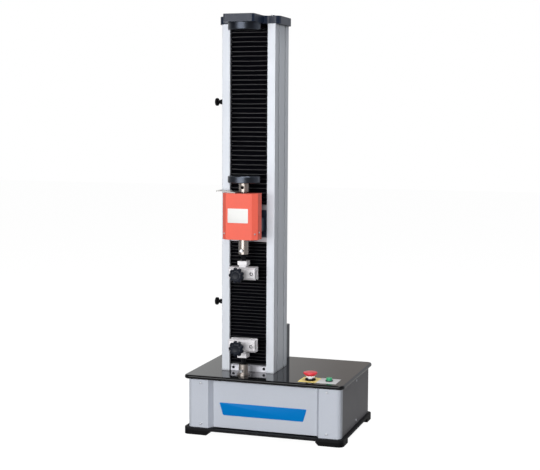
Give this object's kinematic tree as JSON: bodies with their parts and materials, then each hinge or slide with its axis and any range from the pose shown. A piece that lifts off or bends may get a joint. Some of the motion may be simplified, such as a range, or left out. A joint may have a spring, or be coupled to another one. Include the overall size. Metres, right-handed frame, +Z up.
{
  "type": "universal testing machine",
  "caption": "Single-column tension and compression testing machine: drive cabinet, extruded column with pleated bellows, crosshead with covered load cell, screw grips and compression platens.",
  "frame": {"origin": "on the floor, under the middle of the base cabinet; the grip knobs reach 12 mm further forward than the table plate, so the middle of the bounding box is 6 mm in front of it", "axes": "+Z up along the column, +Y away from the user towards the mains inlet, +X to the user's right towards the controls"},
  "size_m": [0.48, 0.372, 1.212],
  "materials": {
    "foot_plastic": "moulded black",
    "dark_steel": "satin black paint",
    "cabinet_paint": "fine-textured light grey powder coat",
    "plate_lacquer": "high-gloss black",
    "anodised": "natural anodised extrusion",
    "machined_aluminium": "milled",
    "ground_steel": "ground and polished",
    "blackened_steel": "blackened hardened steel",
    "nickel": "satin nickel plate",
    "bright_zinc": "bright zinc plate",
    "belt_rubber": "matte",
    "bellows_cloth": "coated cloth with a dull sheen",
    "cover_red": "satin red powder coat",
    "knob_plastic": "dark blue-grey moulding",
    "switch_plastic": "black moulding",
    "pale_plastic": "pale grey moulding",
    "stop_red": "glossy red moulding",
    "start_green": "glossy green moulding",
    "board_green": "circuit board"
  },
  "bodies": {
    "frame": {"feet": "foot_plastic", "plinth_tray": "dark_steel", "corner_posts": "machined_aluminium", "front_fascia": "cabinet_paint", "side_panels": "cabinet_paint", "rear_panel": "cabinet_paint", "top_plate": "plate_lacquer", "frame_screws": "bright_zinc", "column_left": "anodised", "column_right": "anodised", "column_back_sheet": "anodised", "top_cap": "dark_steel", "upper_platen": "blackened_steel", "guide_rods": "ground_steel", "screw_bearings": "blackened_steel", "drive_belt": "belt_rubber", "motor": "dark_steel", "motor_mount": "machined_aluminium", "bellows_upper": "bellows_cloth", "bellows_lower": "bellows_cloth", "bellows_bracket": "machined_aluminium", "limit_switches": "switch_plastic", "lower_connector": "ground_steel", "lower_grip_frame": "nickel", "lower_grip_pins": "ground_steel", "estop_collar": "switch_plastic", "start_bezel": "bright_zinc", "rear_box": "dark_steel", "control_board": "board_green", "power_inlet": "switch_plastic", "drive_unit": "machined_aluminium"},
    "crosshead": {"crosshead_block": "machined_aluminium", "linear_bushings": "ground_steel", "ball_nut": "ground_steel", "crosshead_arm": "dark_steel", "clamp_bars": "machined_aluminium", "load_cell": "nickel", "cell_cover": "cover_red", "cell_bolts": "bright_zinc", "striker_plate": "blackened_steel", "load_adapters": "ground_steel", "lower_platen": "blackened_steel", "upper_grip_frame": "nickel", "upper_grip_pins": "ground_steel"},
    "screw": {"ball_screw": "ground_steel", "screw_pulley": "machined_aluminium"},
    "motor_shaft": {"motor_pulley": "machined_aluminium"},
    "upper_jaw": {"upper_jaw": "nickel"},
    "upper_knob": {"upper_knob": "knob_plastic"},
    "lower_jaw": {"lower_jaw": "nickel"},
    "lower_knob": {"lower_knob": "knob_plastic"},
    "stop_rod": {"stop_rod": "ground_steel"},
    "upper_stop": {"upper_stop": "blackened_steel"},
    "upper_thumb_screw": {"upper_thumb_screw": "switch_plastic"},
    "lower_stop": {"lower_stop": "blackened_steel"},
    "lower_thumb_screw": {"lower_thumb_screw": "switch_plastic"},
    "estop_plunger": {"estop_plunger": "pale_plastic"},
    "estop_head": {"estop_head": "stop_red"},
    "start_button": {"start_button": "start_green"},
    "power_rocker": {"power_rocker": "switch_plastic"}
  },
  "joints": [
    {"name": "crosshead_slide", "type": "slide", "parent": "frame", "child": "crosshead", "axis": [0, 0, 1], "range_m": [-0.15, 0.245], "deforming": ["bellows_upper", "bellows_lower"]},
    {"name": "screw_turn", "type": "hinge", "parent": "frame", "child": "screw", "pos_m": [-0.0756, -0.01, 0.6], "axis": [0, 0, 1], "continuous": true},
    {"name": "motor_turn", "type": "hinge", "parent": "frame", "child": "motor_shaft", "pos_m": [0.0294, -0.01, 0.14], "axis": [0, 0, 1], "continuous": true},
    {"name": "upper_jaw_slide", "type": "slide", "parent": "crosshead", "child": "upper_jaw", "axis": [0, 1, 0], "range_m": [0, 0.0064]},
    {"name": "upper_knob_turn", "type": "hinge", "parent": "upper_jaw", "child": "upper_knob", "pos_m": [-0.0756, -0.186, 0.473], "axis": [0, 1, 0], "range_deg": [0, 1317]},
    {"name": "lower_jaw_slide", "type": "slide", "parent": "frame", "child": "lower_jaw", "axis": [0, 1, 0], "range_m": [0, 0.0064]},
    {"name": "lower_knob_turn", "type": "hinge", "parent": "lower_jaw", "child": "lower_knob", "pos_m": [-0.0756, -0.186, 0.262], "axis": [0, 1, 0], "range_deg": [0, 1317]},
    {"name": "stop_rod_slide", "type": "slide", "parent": "frame", "child": "stop_rod", "axis": [0, 0, 1], "range_m": [-0.003, 0.003], "stiffness_N_per_m": 8000, "springref_m": 0.00062},
    {"name": "upper_stop_slide", "type": "slide", "parent": "stop_rod", "child": "upper_stop", "axis": [0, 0, 1], "range_m": [-0.24, 0.19]},
    {"name": "upper_thumb_turn", "type": "hinge", "parent": "upper_stop", "child": "upper_thumb_screw", "pos_m": [-0.18, -0.047, 0.965], "axis": [1, 0, 0], "range_deg": [-360, 135]},
    {"name": "lower_stop_slide", "type": "slide", "parent": "stop_rod", "child": "lower_stop", "axis": [0, 0, 1], "range_m": [-0.17, 0.29]},
    {"name": "lower_thumb_turn", "type": "hinge", "parent": "lower_stop", "child": "lower_thumb_screw", "pos_m": [-0.18, -0.047, 0.375], "axis": [1, 0, 0], "range_deg": [-360, 135]},
    {"name": "estop_press", "type": "slide", "parent": "frame", "child": "estop_plunger", "axis": [0, 0, -1], "range_m": [0, 0.004], "stiffness_N_per_m": 2000, "springref_m": -0.0005},
    {"name": "estop_twist", "type": "hinge", "parent": "estop_plunger", "child": "estop_head", "pos_m": [0.13, -0.13, 0.19], "axis": [0, 0, -1], "range_deg": [0, 30], "stiffness_Nm_per_rad": 0.1},
    {"name": "start_press", "type": "slide", "parent": "frame", "child": "start_button", "axis": [0, 0, -1], "range_m": [0, 0.003], "stiffness_N_per_m": 600, "springref_m": -0.0005},
    {"name": "rocker_tilt", "type": "hinge", "parent": "frame", "child": "power_rocker", "pos_m": [0.15, 0.16885, 0.106], "axis": [1, 0, 0], "range_deg": [-14, 0]}
  ],
  "couplings": [
    {"joint": "screw_turn", "follows": "crosshead_slide", "rad_per_m": -628.32},
    {"joint": "motor_turn", "follows": "crosshead_slide", "rad_per_m": -1256.6},
    {"joint": "upper_knob_turn", "follows": "upper_jaw_slide", "rad_per_m": 3590.4},
    {"joint": "lower_knob_turn", "follows": "lower_jaw_slide", "rad_per_m": 3590.4}
  ]
}
